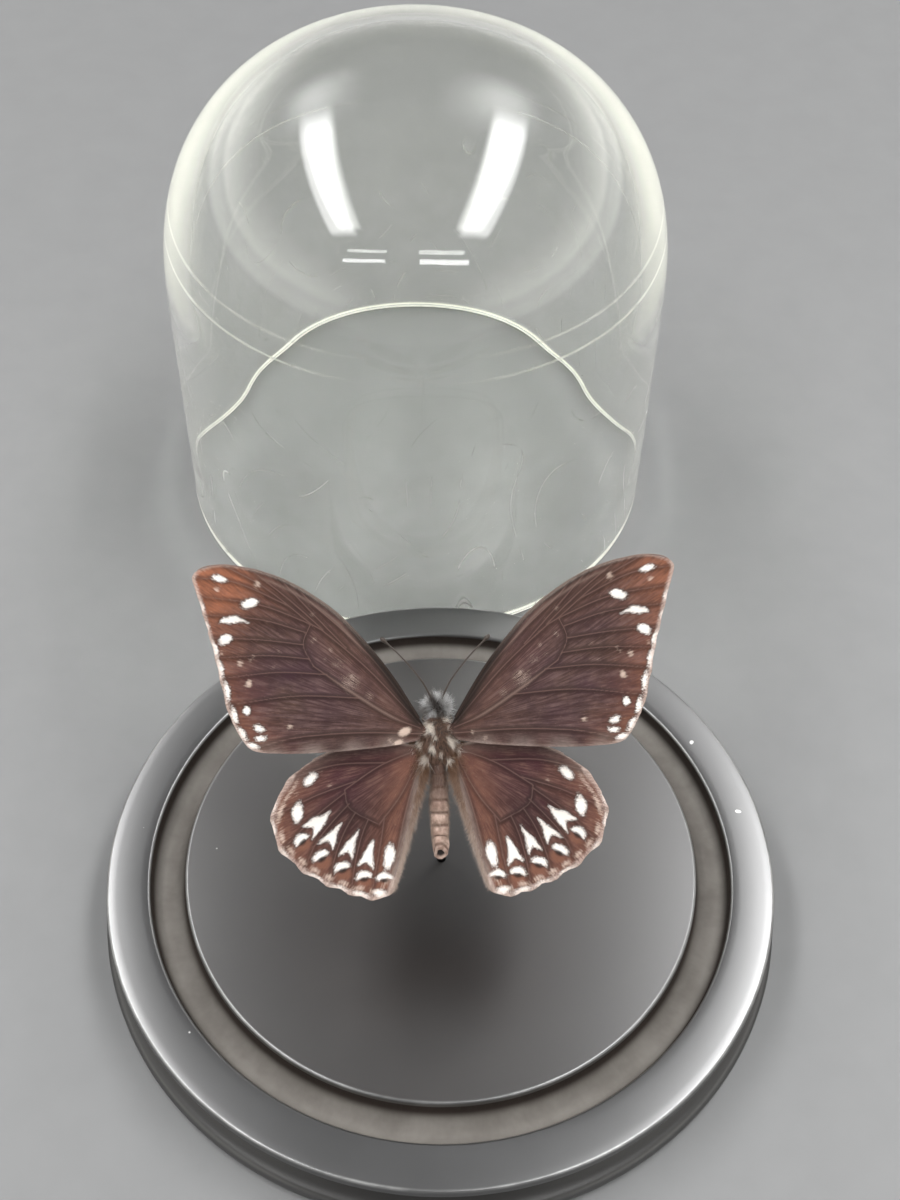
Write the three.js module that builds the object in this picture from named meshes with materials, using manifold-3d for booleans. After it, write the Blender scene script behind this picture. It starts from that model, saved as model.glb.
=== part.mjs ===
// A set butterfly on a turned black base, with its glass dome standing beside it.
// Millimetres, +Z up. The origin is the centre of the base's underside.
// +Y runs from the front of the base to the dome behind it, +X to the right.
import * as THREE from 'three';
import { mergeVertices } from 'three/addons/utils/BufferGeometryUtils.js';
import Module from 'manifold-3d';

const wasm = await Module();
wasm.setup();

// ---- driving dimensions ----------------------------------------------------
const TURN_SEGMENTS = 60;          // flats round the base and the dome

const BASE_RADIUS = 65;            // top edge of the base
const FOOT_RADIUS = 66.3;          // lower lip of the base
const BASE_TOP = 13;               // height of the outer ring
const RING_FALL = 0.35;            // the outer ring slopes down this much to its edge
const DISC_RISE = 0.8;             // the middle disc stands this much prouder
const GROOVE_OUTER = 56.5;         // groove that takes the dome's rim
const GROOVE_INNER = 49.8;
const GROOVE_DEPTH = 3.6;

const DOME_RADIUS = 55;            // outside of the glass
const DOME_WALL = 2.2;             // at the rim
const SHOULDER_WALL = 4.5;         // at the shoulder, where the blown glass is thickest
const WALL_SWELLS = 16;            // height at which the wall starts to thicken
const DOME_HEIGHT = 112;
const DOME_CROWN = 52;             // height of the rounded top above the straight wall
const CROWN_FULLNESS = 2.4;        // 2 is an ellipse, more is squarer
const DOME_SIDE = -8.6;            // the lifted dome stands a little left of centre
const DOME_GAP = 1.5;              // clear table between the base and the glass

const PIN_RADIUS = 0.6;            // wire that carries the insect
const FIT_GAP = 0.3;               // clearance where two pieces meet
const PIN_DEPTH = 6;               // how far the wire goes into the base
const PIN_GRIP = 2.4;              // how far it goes into the thorax

const INSECT_SIDE = -1.1;          // thorax centre, left of the base's axis
const INSECT_HEIGHT = 55.25;       // thorax centre above the table
const BODY_TILT = 30;              // degrees, head up
const BODY_TURN = 2.8;             // degrees, head a little to the left
const WING_THICKNESS = 0.4;
const FORE_DIHEDRAL = 8;           // degrees, forewings raised
const HIND_DIHEDRAL = 3;           // degrees, hindwings raised
const FORE_LIFT = 0.8;             // forewing's underside above the body's mid-plane
const HIND_LIFT = -0.5;            // hindwing's underside

const GROOVE_FLOOR = BASE_TOP - GROOVE_DEPTH;
const DISC_TOP = BASE_TOP + DISC_RISE;

// ---- helpers -----------------------------------------------------------------
const degrees = (angle) => THREE.MathUtils.degToRad(angle);

function finish(color, roughness, metalness = 0) {
  return new THREE.MeshStandardMaterial({ color, roughness, metalness });
}

function piece(name, geometry, material) {
  const mesh = new THREE.Mesh(geometry, material);
  mesh.name = name;
  return mesh;
}

// A closed geometry as a solid that can be cut and joined.
function toSolid(geometry) {
  const bare = geometry.clone();
  bare.deleteAttribute('normal');
  bare.deleteAttribute('uv');
  const merged = mergeVertices(bare, 1e-4);
  return new wasm.Manifold(new wasm.Mesh({
    numProp: 3,
    vertProperties: new Float32Array(merged.attributes.position.array),
    triVerts: new Uint32Array(merged.index.array),
  }));
}

function toGeometry(solid) {
  const { vertProperties, triVerts } = solid.getMesh();
  const geometry = new THREE.BufferGeometry();
  geometry.setAttribute('position', new THREE.BufferAttribute(new Float32Array(vertProperties), 3));
  geometry.setIndex(new THREE.BufferAttribute(new Uint32Array(triVerts), 1));
  geometry.computeVertexNormals();
  return geometry;
}

// Points of an arc in the turning plane, as [radius, height]; angles in degrees.
function arc(centreRadius, centreHeight, radius, from, to, steps) {
  const points = [];
  for (let i = 0; i <= steps; i += 1) {
    const angle = degrees(from + ((to - from) * i) / steps);
    points.push([centreRadius + radius * Math.cos(angle), centreHeight + radius * Math.sin(angle)]);
  }
  return points;
}

// A turned piece: the profile starts and ends on the axis, or closes on itself. It is turned
// about +Z, and runs anticlockwise seen with the axis on the left.
function turned(profile, segments = TURN_SEGMENTS) {
  const points = profile.map(([radius, height]) => new THREE.Vector2(radius, height));
  const geometry = new THREE.LatheGeometry(points, segments);
  geometry.rotateX(Math.PI / 2);
  return geometry;
}

// ---- base ----------------------------------------------------------------------
// Turned disc: flat underside, rounded lip, hollow neck, flat outer ring, round-bottomed
// groove, raised middle disc with the pin's hole at its centre.
function baseProfile() {
  const holeRadius = PIN_RADIUS + FIT_GAP;
  const holeFloor = DISC_TOP - PIN_DEPTH - FIT_GAP;
  const cornerRadius = 2.6;
  const edge = 0.6;
  return [
    [0, 0],
    [FOOT_RADIUS - 1, 0],
    ...arc(FOOT_RADIUS - 2, 2, 2, -40, 70, 3),
    [FOOT_RADIUS - 2.4, 4.6],
    ...arc(BASE_RADIUS + 0.2, 7.4, 2.8, 215, 140, 3),
    [BASE_RADIUS, 10.6],
    ...arc(BASE_RADIUS - edge, BASE_TOP - RING_FALL - edge, edge, 0, 90, 1),
    ...arc(GROOVE_OUTER + edge, BASE_TOP - edge, edge, 90, 180, 1),
    ...arc(GROOVE_OUTER - cornerRadius, GROOVE_FLOOR + cornerRadius, cornerRadius, 0, -90, 3),
    ...arc(GROOVE_INNER + cornerRadius, GROOVE_FLOOR + cornerRadius, cornerRadius, -90, -180, 3),
    ...arc(GROOVE_INNER - edge, DISC_TOP - edge, edge, 0, 90, 1),
    [holeRadius, DISC_TOP],
    [holeRadius, holeFloor],
    [0, holeFloor],
  ];
}

function makeBase() {
  const geometry = turned(baseProfile());
  return piece('base', geometry, finish(0x2b2c2f, 0.42));
}

// ---- dome ------------------------------------------------------------------------
// Blown glass cloche: straight wall, full rounded crown, fire-polished rim. Open below.
function crown(radius, rise, steps, shoulder) {
  const points = [];
  for (let i = 0; i <= steps; i += 1) {
    const angle = (i / steps) * (Math.PI / 2);
    const out = radius * Math.cos(angle) ** (2 / CROWN_FULLNESS);
    const up = rise * Math.sin(angle) ** (2 / CROWN_FULLNESS);
    points.push([i === steps ? 0 : out, shoulder + up]);
  }
  return points;
}

// Glass thickness at a height: thin at the rim, thick round the shoulder, thinner at the top.
function wallAt(height) {
  const shoulder = DOME_HEIGHT - DOME_CROWN;
  const swell = THREE.MathUtils.smoothstep(height, WALL_SWELLS, shoulder + 6);
  const fall = THREE.MathUtils.smoothstep(height, shoulder + 16, DOME_HEIGHT - 2);
  return DOME_WALL + (SHOULDER_WALL - DOME_WALL) * swell * (1 - 0.5 * fall);
}

// The inner face: the outer one moved inwards by the glass thickness, square to the wall.
function innerFace() {
  const shoulder = DOME_HEIGHT - DOME_CROWN;
  const outer = [[DOME_RADIUS, WALL_SWELLS], [DOME_RADIUS, 0.62 * shoulder],
    ...crown(DOME_RADIUS, DOME_CROWN, 10, shoulder)];
  return outer.map(([radius, height], i) => {
    if (i === outer.length - 1) return [0, DOME_HEIGHT - wallAt(DOME_HEIGHT)];
    const before = outer[Math.max(0, i - 1)];
    const after = outer[i + 1];
    const along = new THREE.Vector2(after[0] - before[0], after[1] - before[1]).normalize();
    return [radius - along.y * wallAt(height), height + along.x * wallAt(height)];
  });
}

function domeProfile() {
  const rim = DOME_WALL / 2;
  const outside = crown(DOME_RADIUS, DOME_CROWN, 12, DOME_HEIGHT - DOME_CROWN);
  return [
    ...innerFace().reverse(),
    ...arc(DOME_RADIUS - rim, rim, rim, 180, 360, 4),
    ...outside,
  ];
}

function makeDome() {
  const geometry = turned(domeProfile());
  const reach = FOOT_RADIUS + DOME_GAP + DOME_RADIUS;
  const material = finish(0xe8eee6, 0.05);
  material.transparent = true;
  material.opacity = 0.35;
  const dome = piece('dome', geometry, material);
  dome.position.set(DOME_SIDE, Math.sqrt(reach ** 2 - DOME_SIDE ** 2), 0);
  return dome;
}

// ---- insect ------------------------------------------------------------------------
// Body frame: origin at the thorax, +Y to the head, +X to the right, +Z out of the back.
const THORAX = { centre: [0, -0.7, -0.4], half: [2.9, 4.1, 2.8] };
const HEAD = { centre: [0, 5.1, -0.5], half: [1.7, 1.35, 1.5] };

function ellipsoid({ centre, half }, around, along) {
  const geometry = new THREE.SphereGeometry(1, around, along);
  geometry.scale(...half);
  geometry.translate(...centre);
  return geometry;
}

// Slim dried abdomen with seven ring segments, as [radius, distance from the thorax].
function abdomenProfile() {
  const segments = 7;
  const length = 14.4;
  const profile = [[0, 0], [1.0, 0]];
  for (let i = 0; i < segments; i += 1) {
    const middle = (i + 0.5) / segments;
    const fullness = 1.15 + 0.6 * Math.sin(Math.PI * Math.min(1, middle * 1.15));
    profile.push([fullness, (i + 0.25) * (length / segments)]);
    profile.push([fullness, (i + 0.75) * (length / segments)]);
    profile.push([fullness - 0.14, (i + 1) * (length / segments)]);
  }
  return [...profile, [0.45, length + 0.5], [0, length + 0.2]];
}

function makeAbdomen() {
  const geometry = turned(abdomenProfile(), 16);
  geometry.rotateX(Math.PI / 2 + degrees(5));
  geometry.translate(0, -5.2, -0.7);
  return piece('abdomen', geometry, finish(0xa98f7c, 0.8));
}

// Wing outlines in the body frame, right side, from the front of the root round to its back.
const FORE_OUTLINE = [
  [3.5, 2.9], [9, 11.6], [16.4, 20.5], [23, 25.6], [29.4, 28.8], [36.5, 30.4], [41, 30],
  [42.7, 28.2], [41.6, 24.2], [40.4, 19.8], [38.9, 14.4], [37.3, 7], [35.6, 1.8],
  [32.6, -2.1], [27, -2.9], [18, -2.7], [9, -1.9], [3.5, -0.9],
];
const HIND_OUTLINE = [
  [3.5, -1.6], [9, -0.9], [16, -1.4], [22.5, -4], [26.6, -7.4], [28.9, -11.2], [29.4, -15.3],
  [28.2, -19], [25.4, -22.1], [21.6, -24.7], [17, -26.8], [12.4, -28.2], [9.4, -27.9],
  [7.9, -25.8], [6.4, -21], [4.9, -15.6], [3.4, -10], [2.5, -6.4], [3.5, -4],
];

function makeWing(name, outline, side, lift, dihedral, material) {
  const [start, ...rest] = outline.map(([out, along]) => new THREE.Vector2(out * side, along));
  const shape = new THREE.Shape();
  shape.moveTo(start.x, start.y);
  shape.splineThru(rest);
  shape.closePath();
  const geometry = new THREE.ExtrudeGeometry(shape, {
    depth: WING_THICKNESS,
    bevelEnabled: false,
    curveSegments: 3,
  });
  geometry.translate(0, 0, lift);
  geometry.rotateY(degrees(-dihedral) * side);
  return piece(name, geometry, material);
}

// Thin antenna with a club at its tip, joined into one solid.
function makeAntenna(name, side) {
  const route = [[0.8, 6.55, 0.5], [2.6, 9.6, 1.6], [5.9, 13.6, 2.7], [9.6, 17.2, 3.4]];
  const points = route.map(([out, along, up]) => new THREE.Vector3(out * side, along, up));
  const path = new THREE.CatmullRomCurve3(points);
  const section = new THREE.Shape();
  section.absarc(0, 0, 0.2, 0, 2 * Math.PI);
  const stalk = new THREE.ExtrudeGeometry(section, {
    extrudePath: path,
    steps: 12,
    curveSegments: 3,
  });
  const club = new THREE.SphereGeometry(1, 8, 6);
  club.scale(0.45, 1.3, 0.45);
  const heading = path.getTangent(1);
  club.applyQuaternion(new THREE.Quaternion().setFromUnitVectors(new THREE.Vector3(0, 1, 0), heading));
  club.translate(points[3].x, points[3].y, points[3].z);
  const geometry = toGeometry(toSolid(stalk).add(toSolid(club)));
  return piece(name, geometry, finish(0x2a1d17, 0.7));
}

// The wire's top, in the world: just inside the thorax, straight above the base's centre.
const THORAX_UNDERSIDE = INSECT_HEIGHT - 3.2;
const PIN_TOP = THORAX_UNDERSIDE + PIN_GRIP;

// The thorax has a socket for the wire, cut along the world's vertical.
function makeThorax(bodyMatrix) {
  const body = toSolid(ellipsoid(THORAX, 20, 14));
  const drill = new THREE.CylinderGeometry(PIN_RADIUS + FIT_GAP, PIN_RADIUS + FIT_GAP, 20, 12);
  drill.rotateX(Math.PI / 2);
  drill.translate(0, 0, PIN_TOP + FIT_GAP - 10);
  drill.applyMatrix4(bodyMatrix.clone().invert());
  return piece('thorax', toGeometry(body.subtract(toSolid(drill))), finish(0x4a3730, 0.9));
}

function makeInsect() {
  const body = new THREE.Group();
  body.position.set(INSECT_SIDE, 0, INSECT_HEIGHT);
  body.rotation.set(degrees(BODY_TILT), 0, degrees(BODY_TURN), 'XYZ');
  body.updateMatrix();

  body.add(makeThorax(body.matrix));
  body.add(piece('head', ellipsoid(HEAD, 16, 10), finish(0x3a2b26, 0.85)));
  body.add(makeAbdomen());
  for (const [hand, side] of [['left', -1], ['right', 1]]) {
    const wing = finish(0x4f352f, 0.75);
    body.add(makeWing(`forewing_${hand}`, FORE_OUTLINE, side, FORE_LIFT, FORE_DIHEDRAL, wing));
    body.add(makeWing(`hindwing_${hand}`, HIND_OUTLINE, side, HIND_LIFT, HIND_DIHEDRAL, wing));
    body.add(makeAntenna(`antenna_${hand}`, side));
  }
  return body;
}

// ---- mounting pin --------------------------------------------------------------------
function makePin() {
  const foot = DISC_TOP - PIN_DEPTH;
  const geometry = new THREE.CylinderGeometry(PIN_RADIUS, PIN_RADIUS, PIN_TOP - foot, 16);
  geometry.rotateX(Math.PI / 2);
  geometry.translate(0, 0, (PIN_TOP + foot) / 2);
  return piece('mounting_pin', geometry, finish(0x1c1c1e, 0.4, 0.8));
}

const group = new THREE.Group();
group.add(makeBase(), makeDome(), makePin(), makeInsect());

export default group;
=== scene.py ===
import math

import bpy
import numpy as np
from mathutils import Matrix, Vector


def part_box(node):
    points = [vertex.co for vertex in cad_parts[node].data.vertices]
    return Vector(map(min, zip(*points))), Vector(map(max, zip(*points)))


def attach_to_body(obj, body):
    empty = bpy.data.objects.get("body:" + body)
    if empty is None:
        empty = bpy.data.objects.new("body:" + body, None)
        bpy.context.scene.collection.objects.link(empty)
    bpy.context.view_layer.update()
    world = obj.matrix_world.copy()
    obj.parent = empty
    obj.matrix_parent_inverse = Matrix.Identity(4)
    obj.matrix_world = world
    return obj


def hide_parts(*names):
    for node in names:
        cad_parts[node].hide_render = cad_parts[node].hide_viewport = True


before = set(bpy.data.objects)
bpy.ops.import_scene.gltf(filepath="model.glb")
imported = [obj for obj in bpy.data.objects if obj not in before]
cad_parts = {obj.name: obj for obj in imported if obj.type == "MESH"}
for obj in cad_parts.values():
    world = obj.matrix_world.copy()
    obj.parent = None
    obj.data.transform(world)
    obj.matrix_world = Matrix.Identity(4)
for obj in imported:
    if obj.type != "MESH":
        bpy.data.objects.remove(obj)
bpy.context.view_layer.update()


# ---- Studio ---------------------------------------------------------------------------
# A pale seamless table under two long diffused ceiling strips, with bright walls on the
# left and right and two small bar lamps behind the camera, which looks down on the base.
MM = 0.001
CAMERA_PLACE = Vector((0.54, -166.1, 290.7)) * MM
CAMERA_DOWN = 50.04
CAMERA_ROLL = 1.31
CAMERA_LENS = 48.94

lens = bpy.data.cameras.new("studio_camera")
lens.lens = CAMERA_LENS
lens.sensor_width = 36.0
camera = bpy.data.objects.new("studio_camera", lens)
bpy.context.scene.collection.objects.link(camera)
camera.matrix_world = (Matrix.Translation(CAMERA_PLACE)
                       @ Matrix.Rotation(math.radians(90 - CAMERA_DOWN), 4, "X")
                       @ Matrix.Rotation(math.radians(CAMERA_ROLL), 4, "Z"))
bpy.context.scene.camera = camera
bpy.context.scene.view_settings.view_transform = "Standard"
bpy.context.scene.cycles.blur_glossy = 0.0


class Value:
    """A shader socket that takes part in plain sums."""

    def __init__(self, finish, socket):
        self.finish = finish
        self.socket = socket

    def _math(self, operation, *parts):
        inputs = dict(enumerate(parts))
        return self.finish.node("ShaderNodeMath", {"operation": operation}, inputs)

    def __add__(self, other):
        return self._math("ADD", self, other)

    def __radd__(self, other):
        return self._math("ADD", other, self)

    def __sub__(self, other):
        return self._math("SUBTRACT", self, other)

    def __rsub__(self, other):
        return self._math("SUBTRACT", other, self)

    def __mul__(self, other):
        return self._math("MULTIPLY", self, other)

    def __rmul__(self, other):
        return self._math("MULTIPLY", other, self)

    def __truediv__(self, other):
        return self._math("DIVIDE", self, other)

    def size(self):
        return self._math("ABSOLUTE", self)

    def most(self, other):
        return self._math("MAXIMUM", self, other)

    def least(self, other):
        return self._math("MINIMUM", self, other)

    def wrap(self):
        return self._math("FRACT", self)

    def ramp(self, low, high):
        """0 below low, 1 above high, smooth between; low may be the larger."""
        settings = {"interpolation_type": "SMOOTHSTEP", "clamp": True}
        rising = low < high
        inputs = {"Value": self, "From Min": min(low, high), "From Max": max(low, high),
                  "To Min": 0.0 if rising else 1.0, "To Max": 1.0 if rising else 0.0}
        return self.finish.node("ShaderNodeMapRange", settings, inputs)


class Finish:
    """The shader of a material or of the studio's air, written as expressions."""

    def __init__(self, owner):
        self.owner = owner
        owner.use_nodes = True
        self.tree = owner.node_tree
        self.tree.nodes.clear()

    def node(self, kind, settings=None, inputs=None, output=0):
        node = self.tree.nodes.new(kind)
        for key, value in (settings or {}).items():
            if key == "stops":
                ramp = node.color_ramp
                while len(ramp.elements) < len(value):
                    ramp.elements.new(0.5)
                for element, (place, color) in zip(ramp.elements, value):
                    element.position = place
                    element.color = (*color, 1)
            else:
                setattr(node, key, value)
        for key, value in (inputs or {}).items():
            socket = node.inputs[key]
            if isinstance(value, Value):
                self.tree.links.new(value.socket, socket)
            else:
                socket.default_value = value
        return Value(self, node.outputs[output]) if node.outputs else None

    def place(self):
        """The point on the object, in metres."""
        return self.node("ShaderNodeTexCoord", output="Object")

    def axes(self, vector=None):
        """The three parts of a vector, or of the point on the object."""
        parts = self.node("ShaderNodeSeparateXYZ", None, {0: vector or self.place()})
        return [Value(self, socket) for socket in parts.socket.node.outputs]

    def attribute(self, name):
        return self.node("ShaderNodeAttribute", {"attribute_name": name}, output="Fac")

    def noise(self, scale, detail=3.0, roughness=0.55, vector=None, stretch=None):
        vector = vector or self.place()
        if stretch:
            vector = self.node("ShaderNodeVectorMath", {"operation": "MULTIPLY"},
                               {0: vector, 1: stretch})
        inputs = {"Vector": vector, "Scale": scale, "Detail": detail, "Roughness": roughness}
        return self.node("ShaderNodeTexNoise", None, inputs)

    def cells(self, scale, randomness=1.0):
        inputs = {"Vector": self.place(), "Scale": scale, "Randomness": randomness}
        return self.node("ShaderNodeTexVoronoi", None, inputs)

    def mix(self, first, second, share):
        """A colour between two, by a share of the second."""
        def full(color):
            return color if isinstance(color, Value) else (*color, 1)
        inputs = {0: share, 6: full(first), 7: full(second)}
        return self.node("ShaderNodeMix", {"data_type": "RGBA"}, inputs, output=2)

    def bump(self, height, strength, distance):
        inputs = {"Height": height, "Strength": strength, "Distance": distance}
        return self.node("ShaderNodeBump", None, inputs)

    def surface(self, **sockets):
        inputs = {}
        for key, value in sockets.items():
            name = key.replace("_", " ").title().replace("Ior", "IOR")
            if isinstance(value, tuple) and len(value) == 3:
                value = (*value, 1)
            inputs[name] = value
        shader = self.node("ShaderNodeBsdfPrincipled", None, inputs)
        self.node("ShaderNodeOutputMaterial", None, {"Surface": shader})
        return self


def finish(name):
    return Finish(bpy.data.materials.new(name))


def rest():
    """Leaves edit mode and lets go of everything, so that the next tool starts clean."""
    if bpy.context.object and bpy.context.object.mode != "OBJECT":
        bpy.ops.object.mode_set(mode="OBJECT")
    bpy.ops.object.select_all(action="DESELECT")


def settle(piece, name, look, slot, *nodes):
    """Puts a finished piece's place in its mesh, and joins it to the frame."""
    rest()
    piece.name = name
    piece.data.name = name
    bpy.context.view_layer.update()
    piece.data.transform(piece.matrix_world)
    piece.matrix_world = Matrix.Identity(4)
    piece.data.materials.clear()
    piece.data.materials.append(look.owner)
    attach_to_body(piece, "root")
    if nodes:
        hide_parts(*nodes)
    return piece


# How bright the air, the ceiling strips, their dim far ends, the walls and the skyline are.
AIR = 0.10
STRIP_GLOW = 11.5
REAR_GLOW = 2.4
WALL_GLOW = 1.9
HORIZON_GLOW = 0.50
WALL_TINT = (1.0, 0.99, 0.93, 1)
studio = Finish(bpy.data.worlds.new("studio_air"))
to_right, to_back, to_top = studio.axes(studio.node("ShaderNodeTexCoord"))
ceiling_x = to_right / to_top.most(0.02)
ceiling_y = to_back / to_top.most(0.02)


def strip(middle, half):
    """A lamp along the ceiling, at a slope of middle to the right, that fades at its ends."""
    width = (ceiling_x - middle).size().ramp(half + 0.05, half - 0.01)
    return width * ceiling_y.ramp(-0.62, -0.50) * ceiling_y.ramp(1.0, 0.55)


def rear_glow(middle_x, middle_y):
    """The dim end of a strip, spread by the ceiling behind the dome."""
    wide = (ceiling_x - middle_x).size().ramp(0.42, 0.0)
    return wide * (ceiling_y - middle_y).size().ramp(0.55, 0.0) * REAR_GLOW


strips = STRIP_GLOW * (strip(-0.60, 0.11) + strip(0.50, 0.11))
glows = rear_glow(-0.66, 1.15) + rear_glow(0.44, 1.05)
walls = to_right.size().ramp(0.25, 0.75) * to_top.ramp(0.60, 0.15) * to_top.ramp(0.05, 0.13)
horizon = to_top.ramp(0.30, 0.06) * HORIZON_GLOW
shine = studio.node("ShaderNodeBackground", None,
                    {"Color": (1, 1, 1, 1), "Strength": AIR + strips + glows + horizon})
wall_shine = studio.node("ShaderNodeBackground", None,
                         {"Color": WALL_TINT, "Strength": WALL_GLOW * walls})
both = studio.node("ShaderNodeAddShader", None, {0: shine, 1: wall_shine})
studio.node("ShaderNodeOutputWorld", None, {"Surface": both})
bpy.context.scene.world = studio.owner


def bar_lamp(name, start, end, width, power):
    """A thin lamp between two points, aimed at the object."""
    start, end = Vector(start), Vector(end)
    light = bpy.data.lights.new(name, "AREA")
    light.shape = "RECTANGLE"
    light.size = (end - start).length
    light.size_y = width
    light.energy = power
    lamp = bpy.data.objects.new(name, light)
    bpy.context.scene.collection.objects.link(lamp)
    middle = (start + end) / 2
    facing = (middle - Vector((0, 0.05, 0.05))).normalized()
    along = (end - start).normalized()
    side = facing.cross(along).normalized()
    along = side.cross(facing)
    turn_to = Matrix((along, side, facing)).transposed().to_4x4()
    lamp.matrix_world = Matrix.Translation(middle) @ turn_to


bar_lamp("bar_lamp_left", (-0.70, -0.82, 1.0), (-0.26, -0.82, 1.0), 0.045, 0.9)
bar_lamp("bar_lamp_right", (0.06, -0.81, 1.0), (0.52, -0.81, 1.0), 0.065, 1.4)

rest()
bpy.ops.mesh.primitive_plane_add(size=20, location=(0, 0, 0))
table = bpy.context.object
table.name = "table"
paper = finish("pale_table")
fibre = paper.noise(90, 2)
paper.surface(base_color=paper.mix((0.212, 0.214, 0.216), (0.238, 0.240, 0.242), fibre),
              roughness=0.45)
table.data.materials.append(paper.owner)


# ---- Base -----------------------------------------------------------------------------
# A turned disc of close-grained wood under black satin lacquer. A lathe cut its rounded
# lip, hollow neck, flat ring and the round-bottomed groove that takes the dome's rim.
BASE_RADIUS = 65.0
FOOT_RADIUS = 66.3
BASE_TOP = 13.0
DISC_TOP = 13.8
GROOVE_OUTER = 56.5
GROOVE_INNER = 49.8
GROOVE_DEPTH = 3.6
EASED_EDGE = 0.6
GROOVE_CORNER = 2.6
PIN_HOLE = 0.9
RING_FALL = 0.35


def arc(centre_radius, centre_height, radius, start, end, steps):
    """Points of an arc in the turning plane, as (radius, height); angles in degrees."""
    angles = np.radians(np.linspace(start, end, steps + 1))
    return [(centre_radius + radius * math.cos(a), centre_height + radius * math.sin(a))
            for a in angles]


def turn(profile, centre, steps):
    """Draws a profile of (radius, height) in mm from a single point and spins it round."""
    rest()
    points = [Vector((radius * MM, 0, height * MM)) for radius, height in profile]
    bpy.ops.mesh.primitive_plane_add(size=MM, location=(0, 0, 0))
    bpy.ops.object.mode_set(mode="EDIT")
    bpy.ops.mesh.select_all(action="SELECT")
    bpy.ops.mesh.merge(type="CENTER")
    bpy.ops.transform.translate(value=points[0])
    for here, there in zip(points, points[1:]):
        bpy.ops.mesh.extrude_region_move(TRANSFORM_OT_translate={"value": there - here})
    bpy.ops.mesh.select_all(action="SELECT")
    bpy.ops.mesh.spin(steps=steps, angle=2 * math.pi, center=(0, 0, 0), axis=(0, 0, 1))
    bpy.ops.mesh.select_all(action="SELECT")
    bpy.ops.mesh.remove_doubles(threshold=0.002 * MM)
    bpy.ops.mesh.normals_make_consistent(inside=False)
    bpy.ops.mesh.select_all(action="SELECT")
    bpy.ops.transform.translate(value=(centre[0], centre[1], 0))
    bpy.ops.object.mode_set(mode="OBJECT")
    bpy.ops.object.shade_smooth_by_angle(angle=math.radians(35))
    return bpy.context.object


def base_profile():
    floor = BASE_TOP - GROOVE_DEPTH
    edge = EASED_EDGE
    corner = GROOVE_CORNER
    ring_start = GROOVE_OUTER + edge
    ring_width = BASE_RADIUS - edge - ring_start
    return [
        (0, 0),
        (FOOT_RADIUS - 1, 0),
        *arc(FOOT_RADIUS - 2, 2, 2, -40, 70, 10),
        (FOOT_RADIUS - 2.4, 4.6),
        *arc(BASE_RADIUS + 0.2, 7.4, 2.8, 215, 140, 10),
        (BASE_RADIUS, 10.6),
        *arc(BASE_RADIUS - edge, BASE_TOP - RING_FALL - edge, edge, 0, 84, 6),
        *[(ring_start + ring_width * t, BASE_TOP - RING_FALL * t * t)
          for t in (0.8, 0.6, 0.4, 0.2)],
        *arc(ring_start, BASE_TOP - edge, edge, 90, 180, 6),
        *arc(GROOVE_OUTER - corner, floor + corner, corner, 0, -90, 10),
        *arc(GROOVE_INNER + corner, floor + corner, corner, -90, -180, 10),
        *arc(GROOVE_INNER - edge, DISC_TOP - edge, edge, 0, 90, 6),
        (PIN_HOLE, DISC_TOP),
        (PIN_HOLE, DISC_TOP - 6.3),
        (0, DISC_TOP - 6.3),
    ]


lacquer = finish("black_satin_lacquer")
spot = lacquer.place()
spot_x, spot_y, spot_z = lacquer.axes(spot)
flat_spot = lacquer.node("ShaderNodeVectorMath", {"operation": "MULTIPLY"},
                         {0: spot, 1: (1, 1, 0)})
out = lacquer.node("ShaderNodeVectorMath", {"operation": "LENGTH"}, {0: flat_spot}, output=1)
out = out * (1 / MM)
up = spot_z * (1 / MM)
lathe_lines = lacquer.noise(1.0, 2, 0.5, lacquer.node(
    "ShaderNodeCombineXYZ", None, {0: out * 9.0, 1: spot_z * 4000.0, 2: 0.0}))
around = lacquer.node("ShaderNodeMath", {"operation": "ARCTAN2"}, {0: spot_y, 1: spot_x})
wipes = lacquer.noise(1.0, 2, 0.6, lacquer.node(
    "ShaderNodeCombineXYZ", None, {0: around * 75.0, 1: out * 0.35, 2: 0.0}))
fine_grain = lacquer.noise(1500, 1)
cloud = lacquer.noise(34, 2, 0.6)
smear = lacquer.noise(130, 3, 0.65)
speck = lacquer.noise(420, 0, 0.4).ramp(0.885, 0.895)


def near(radius, width):
    """1 on the circle of that radius, 0 at the width from it."""
    return (out - radius).size().ramp(width, width * 0.2)


in_groove = out.ramp(GROOVE_INNER - 0.3, GROOVE_INNER) * out.ramp(GROOVE_OUTER + 0.3, GROOVE_OUTER)
in_groove = in_groove * up.ramp(12.7, 12.3)
groove_dust = up.ramp(10.9, 9.6)
# Pale lines on the outer top edge and the disc's edge: partly rubbed lacquer, partly a painted
# highlight along the eased edges.
worn_and_highlit_rims = near(BASE_RADIUS - 0.25, 0.5).most(0.55 * near(GROOVE_INNER - 0.3, 0.4))
worn_and_highlit = worn_and_highlit_rims * up.ramp(12.0, 12.8)
neck = up.ramp(10.9, 10.0) * up.ramp(2.2, 4.4) * out.ramp(58, 60)
black = lacquer.mix((0.005, 0.005, 0.0055), (0.010, 0.010, 0.011), cloud)
tone = lacquer.mix(black, (0.030, 0.025, 0.022), neck * 0.8)
tone = lacquer.mix(tone, (0.30, 0.30, 0.295), worn_and_highlit * (0.20 + 0.55 * smear.ramp(0.4, 0.7)))
tone = lacquer.mix(tone, (0.70, 0.69, 0.67), speck)
satin = lacquer.node("ShaderNodeBsdfPrincipled", None, {
    "Base Color": tone, "IOR": 2.0, "Specular IOR Level": 0.9,
    "Roughness": 0.26 + 0.05 * cloud + 0.03 * wipes + 0.10 * neck,
    "Normal": lacquer.bump(lathe_lines * 0.5 + fine_grain * 0.4, 0.10, 0.00005)})
bare = lacquer.mix((0.016, 0.011, 0.009), (0.034, 0.025, 0.020), smear)
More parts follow.
